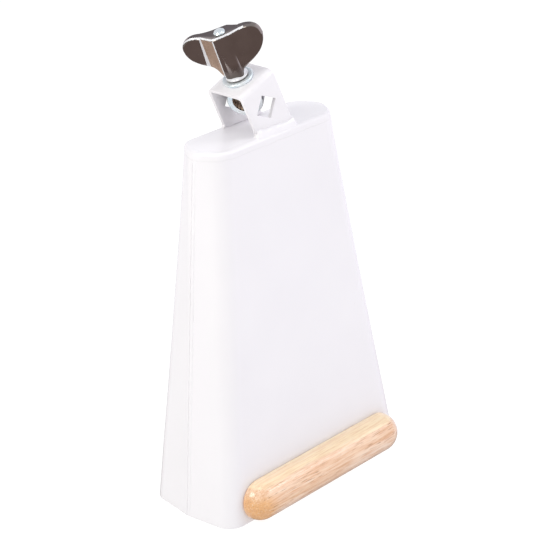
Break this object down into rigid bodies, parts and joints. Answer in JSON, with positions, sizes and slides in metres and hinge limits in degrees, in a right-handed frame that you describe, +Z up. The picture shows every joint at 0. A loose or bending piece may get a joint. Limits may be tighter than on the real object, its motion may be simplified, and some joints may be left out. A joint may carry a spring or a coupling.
{
  "type": "mountable cowbell",
  "caption": "White steel cowbell with a rounded wooden strike bar on the mouth edge and a crown bracket whose eye bolt and wing nut clamp it on a rod.",
  "frame": {"origin": "on the plane of the mouth, in the middle of the whole object's width and depth", "axes": "+Z up from the mouth to the crown, +X across the broad faces, -Y out of the front face that carries the strike bar"},
  "size_m": [0.14, 0.0739, 0.2614],
  "materials": {
    "white_paint": "gloss white enamel on sheet steel",
    "zinc": "bright zinc plating",
    "dark_chrome": "dark chrome plating on a zinc casting",
    "lacquered_wood": "satin clear lacquer on pale hardwood"
  },
  "bodies": {
    "bell": {"front_shell": "white_paint", "rear_shell": "white_paint", "crown_plate": "white_paint", "crown_weld": "white_paint", "left_seam_weld": "white_paint", "right_seam_weld": "white_paint", "strap_bracket": "white_paint", "front_bracket_weld": "white_paint", "rear_bracket_weld": "white_paint", "strike_bar": "lacquered_wood", "bar_screws": "zinc"},
    "washer": {"flat_washer": "zinc"},
    "eye": {"eye_bolt": "zinc"},
    "nut": {"wing_nut": "dark_chrome"}
  },
  "joints": [
    {"name": "clamp_swivel", "type": "hinge", "parent": "bell", "child": "washer", "pos_m": [-0.0104, 0.00732, 0.2281], "axis": [-0.3746, 0, 0.9272], "continuous": true},
    {"name": "wing_nut_turn", "type": "hinge", "parent": "washer", "child": "nut", "pos_m": [-0.0104, 0.00732, 0.2281], "axis": [-0.3746, 0, 0.9272], "range_deg": [-90, 1350]},
    {"name": "eye_lift", "type": "slide", "parent": "washer", "child": "eye", "axis": [-0.3746, 0, 0.9272], "range_m": [-0.004, 0.0003]}
  ],
  "couplings": [
    {"joint": "eye_lift", "follows": "wing_nut_turn", "m_per_rad": -0.00015915}
  ]
}
